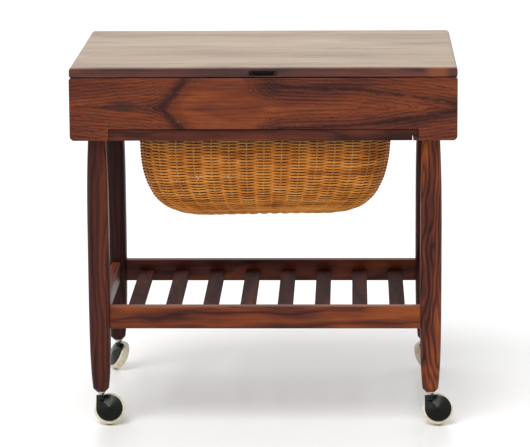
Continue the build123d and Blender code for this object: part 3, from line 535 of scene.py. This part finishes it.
def plan_point(inward, s):
    """Point and outward direction on the basket's plan, s from 0 to 1 round from the front's middle."""
    hx, hy = HALF_X - inward, HALF_Y - inward
    r = CORNER - inward * CORNER_LOSS
    arc = math.pi * r / 2
    a, b = hx - r, 2 * (hy - r)
    length = 2 * (2 * a + b) + 4 * arc
    d = (s % 1.0) * length
    legs = (
        (a, "line", (0, -hy), (1, 0)),
        (arc, "arc", (a, -hy + r), -90),
        (b, "line", (hx, -hy + r), (0, 1)),
        (arc, "arc", (a, hy - r), 0),
        (2 * a, "line", (a, hy), (-1, 0)),
        (arc, "arc", (-a, hy - r), 90),
        (b, "line", (-hx, hy - r), (0, -1)),
        (arc, "arc", (-a, -hy + r), 180),
        (a, "line", (-a, -hy), (1, 0)),
    )
    for size, kind, start, way in legs:
        if d <= size + 1e-9:
            break
        d -= size
    if kind == "line":
        return Vector((start[0] + way[0] * d, start[1] + way[1] * d, 0)), Vector((way[1], -way[0], 0))
    turn = math.radians(way) + d / r
    out = Vector((math.cos(turn), math.sin(turn), 0))
    return Vector((start[0], start[1], 0)) + out * r, out


def lumps(p):
    """Slow unevenness of hand work, in metres."""
    return 0.7 * MM * noise.noise(p * 22) + 0.35 * MM * noise.noise(p * 75)


def settle(p):
    """The basket has slumped: lower down it leans left, and its left half sags below its right."""
    down = min(max((TOP_Z - p.z) / (TOP_Z - BOTTOM_Z), 0.0), 1.0)
    lean = (1.0 - 2.8 * down) * MM
    left = min(max(0.5 - p.x / 0.16, 0.0), 1.0)
    return p + Vector((lean, 0, -down * down * (2.6 * left - 0.6) * MM))


def on_shell(inward, z, tilt, s, push):
    """A point pushed out of the basket's middle surface."""
    flat, out = plan_point(inward, s)
    normal = out * math.cos(tilt) + Vector((0, 0, -math.sin(tilt)))
    p = flat + Vector((0, CENTRE_Y, z))
    return settle(p + normal * (push + lumps(p))), normal


class Tubes:
    """Collects many thin round rods into one mesh."""

    def __init__(self):
        self.verts = []
        self.faces = []

    def rod(self, path, normals, radius, closed=False, sides=SIDES, flat=1.0):
        """radius is one number, or a list with one for each point of the path."""
        count = len(path)
        radii = radius if isinstance(radius, list) else [radius] * count
        base = len(self.verts)
        for i, p in enumerate(path):
            before = path[i - 1] if i or closed else path[i]
            after = path[(i + 1) % count] if i < count - 1 or closed else path[i]
            forward = (after - before).normalized()
            n = (normals[i] - forward * normals[i].dot(forward)).normalized()
            side = forward.cross(n)
            for k in range(sides):
                a = 2 * math.pi * (k + 0.5) / sides
                out = n * (radii[i] * flat * math.cos(a))
                self.verts.append(p + out + side * (radii[i] * math.sin(a)))
        for i in range(count if closed else count - 1):
            here = base + i * sides
            there = base + (i + 1) % count * sides
            for k in range(sides):
                m = (k + 1) % sides
                self.faces.append((here + k, here + m, there + m, there + k))
        if not closed:
            self.faces.append(tuple(base + k for k in reversed(range(sides))))
            last = base + (count - 1) * sides
            self.faces.append(tuple(last + k for k in range(sides)))

    def make(self, name, material):
        mesh = bpy.data.meshes.new(name)
        mesh.from_pydata([tuple(v) for v in self.verts], [], self.faces)
        mesh.materials.append(material)
        mesh.polygons.foreach_set("use_smooth", [True] * len(mesh.polygons))
        mesh.update()
        obj = bpy.data.objects.new(name, mesh)
        bpy.context.scene.collection.objects.link(obj)
        return obj


ROWS = profile()
cane_paint = cane()


def weave_rows(first, last):
    """Rows of cane, each passing in front of every other stake."""
    tubes = Tubes()
    count = STAKES * STEPS
    for k in range(first, last):
        inward, z, tilt = ROWS[k]
        lift = rng.uniform(-0.15, 0.15) * MM
        fat = ROW_RADIUS * rng.uniform(0.95, 1.05)
        path, normals, radii = [], [], []
        for i in range(count):
            s = i / count
            wave = math.cos(math.pi * i / STEPS + math.pi * k)
            wave = math.copysign(abs(wave) ** ROW_SQUARE, wave)
            p, n = on_shell(inward, z + lift * math.cos(tilt), tilt, s, WEAVE * wave)
            path.append(p)
            normals.append(n)
            back = 0.5 - 0.5 * math.cos(2 * math.pi * s)  # 0 at the front's middle, 1 at the back's
            radii.append(fat * (1.0 + math.sin(tilt) * (WIDEN + WIDEN_BACK * back)))
        tubes.rod(path, normals, radii, closed=True, flat=ROW_FLAT)
    return tubes


def weave_stakes():
    """The upright stakes, from the hoop down the sides and in under the bottom."""
    tubes = Tubes()
    for j in range(STAKES):
        s = j / STAKES
        path, normals = [], []
        for inward, z, tilt in ROWS[::2]:
            p, n = on_shell(inward, z, tilt, s, 0.0)
            path.append(p)
            normals.append(n)
        flat, out = plan_point(ROWS[-1][0], s)
        for step in (3, 9, 15):  # mm in from the last row
            path.append(settle(flat - out * step * MM + Vector((0, CENTRE_Y, BOTTOM_Z + 1.6 * MM))))
            normals.append(DOWN)
        tubes.rod(path, normals, STAKE_RADIUS)
    return tubes


def weave_base():
    """The flat bottom: long sticks with cane woven across them."""
    tubes = Tubes()
    sticks = Tubes()
    hx, hy = HALF_X - TURN, HALF_Y - TURN
    r = CORNER - TURN * CORNER_LOSS
    gap = 2 * hy / STICKS

    def reach(a, half_a, half_b):
        """Half width of the outline across a line at a."""
        edge = abs(a) - (half_a - r)
        return half_b - r + math.sqrt(max(r * r - edge * edge, 0.0)) if edge > 0 else half_b

    for j in range(STICKS):
        y = (j - (STICKS - 1) / 2) * gap
        half = reach(y, hy, hx)
        path = [settle(Vector((half * f / 6, y + CENTRE_Y, BOTTOM_Z))) for f in range(-6, 7)]
        sticks.rod(path, [DOWN] * len(path), STICK_RADIUS, sides=8)
    count = int(2 * (hx + TUCK) / ROW_PITCH)
    for k in range(count):
        x = (k - (count - 1) / 2) * ROW_PITCH
        half = reach(x, hx, hy) + TUCK
        steps = max(4, int(2 * half / (gap / STEPS)))
        path = []
        for i in range(steps + 1):
            y = -half + 2 * half * i / steps
            # 0 in the middle, rising to 1 where a row tucks in under the sides
            past = max(abs(y) - half + 2 * TUCK, abs(x) - hx + TUCK, 0.0) / (2 * TUCK)
            wave = math.cos(math.pi * (y / gap + k)) * (1.0 - past)
            p = Vector((x, y + CENTRE_Y, BOTTOM_Z + past * 3.2 * MM))
            path.append(settle(p + Vector((0, 0, -WEAVE * 1.1 * wave - lumps(p)))))
        tubes.rod(path, [DOWN] * len(path), ROW_RADIUS)
    return tubes, sticks


third = len(ROWS) // 3
for name, first, last in (
    ("basket_weave_top", 0, third),
    ("basket_weave_middle", third, 2 * third),
    ("basket_weave_low", 2 * third, len(ROWS)),
):
    piece = weave_rows(first, last).make(name, cane_paint)
    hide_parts("basket")
    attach(piece, "basket_slide")
stake_paint = stake_cane()
base_weave, base_sticks = weave_base()
for name, tubes, material in (
    ("basket_stakes", weave_stakes(), stake_paint),
    ("basket_base_weave", base_weave, cane_paint),
    ("basket_base_sticks", base_sticks, stake_paint),
):
    piece = tubes.make(name, material)
    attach(piece, "basket_slide")

# ------------------------------------------------------------------ floor, light and camera
t = Tree("floor")
haze = t.noise(t.coords, (1.5, 1.5, 1.5), 3, 0.5)
floor_color = t.mix(haze, (0.86, 0.86, 0.86), (0.90, 0.90, 0.895))
floor_paint = t.finish(floor_color, t.math("MULTIPLY_ADD", haze, 0.1, 0.28))
floor_mesh = bpy.data.meshes.new("floor")
REACH = 14.0
corners = [(-REACH, -REACH, 0), (REACH, -REACH, 0), (REACH, REACH, 0), (-REACH, REACH, 0)]
floor_mesh.from_pydata(corners, [], [(0, 1, 2, 3)])
floor_mesh.materials.append(floor_paint)
floor = bpy.data.objects.new("floor", floor_mesh)
bpy.context.scene.collection.objects.link(floor)

scene = bpy.context.scene
world = bpy.data.worlds.new("studio")
scene.world = world
world.use_nodes = True
sky = world.node_tree
background = sky.nodes["Background"]
direction = sky.nodes.new("ShaderNodeTexCoord").outputs["Generated"]
parts = sky.nodes.new("ShaderNodeSeparateXYZ")
sky.links.new(direction, parts.inputs[0])


def sky_step(value, low, high, out_low, out_high):
    """One soft step of the room's brightness, along a direction's x, y or z."""
    n = sky.nodes.new("ShaderNodeMapRange")
    n.interpolation_type = "SMOOTHSTEP"
    sky.links.new(value, n.inputs[0])
    for i, number in enumerate((low, high, out_low, out_high)):
        n.inputs[i + 1].default_value = number
    return n.outputs[0]


def sky_add(a, b):
    n = sky.nodes.new("ShaderNodeMath")
    sky.links.new(a, n.inputs[0])
    sky.links.new(b, n.inputs[1])
    return n.outputs[0]


# a white room: darker on the camera's side, brighter behind the object and overhead
behind = sky_step(parts.outputs[1], -0.3, 0.7, 0.30, 1.0)
overhead = sky_step(parts.outputs[2], 0.2, 0.9, 0.0, 0.35)
# To the camera the backdrop is plain white from every side. This changes only how the backdrop looks:
# the object is lit, and mirrors, the darker room above.
seen = sky.nodes.new("ShaderNodeLightPath").outputs["Is Camera Ray"]
room = sky.nodes.new("ShaderNodeMath")
room.operation = "MAXIMUM"
sky.links.new(sky_add(behind, overhead), room.inputs[0])
sky.links.new(seen, room.inputs[1])
sky.links.new(room.outputs[0], background.inputs[1])
background.inputs[0].default_value = (1.0, 1.0, 1.0, 1.0)
scene.view_settings.view_transform = "Standard"

KEY_ENERGY = 2.15
KEY_ANGLE = 38  # degrees across: a wide, soft lamp
KEY_AIM = Vector((0.24, 0.56, -0.95))
key = bpy.data.lights.new("key", "SUN")
key.energy = KEY_ENERGY
key.angle = math.radians(KEY_ANGLE)
key_place = bpy.data.objects.new("key", key)
key_place.rotation_mode = "QUATERNION"
key_place.rotation_quaternion = KEY_AIM.to_track_quat("-Z", "Y")
scene.collection.objects.link(key_place)

LENS = 202.42  # mm, on a sensor 36 mm wide
YAW, PITCH, ROLL = -0.0301, 0.1989617, -0.006895  # radians; pitch is downwards
PLACE = (0.1386, -4.7515, 1.2477)  # metres
camera = bpy.data.cameras.new("camera")
camera.lens = LENS
camera.sensor_width = 36.0
camera.clip_end = 60.0
eye = bpy.data.objects.new("camera", camera)
forward = Vector((math.sin(YAW) * math.cos(PITCH), math.cos(YAW) * math.cos(PITCH), -math.sin(PITCH)))
right = Vector((math.cos(YAW), -math.sin(YAW), 0))
up = right.cross(forward)
side = right * math.cos(ROLL) + up * math.sin(ROLL)
above = up * math.cos(ROLL) - right * math.sin(ROLL)
turn = Matrix((side, above, -forward)).transposed().to_4x4()
eye.matrix_world = Matrix.Translation(PLACE) @ turn
scene.collection.objects.link(eye)
scene.camera = eye
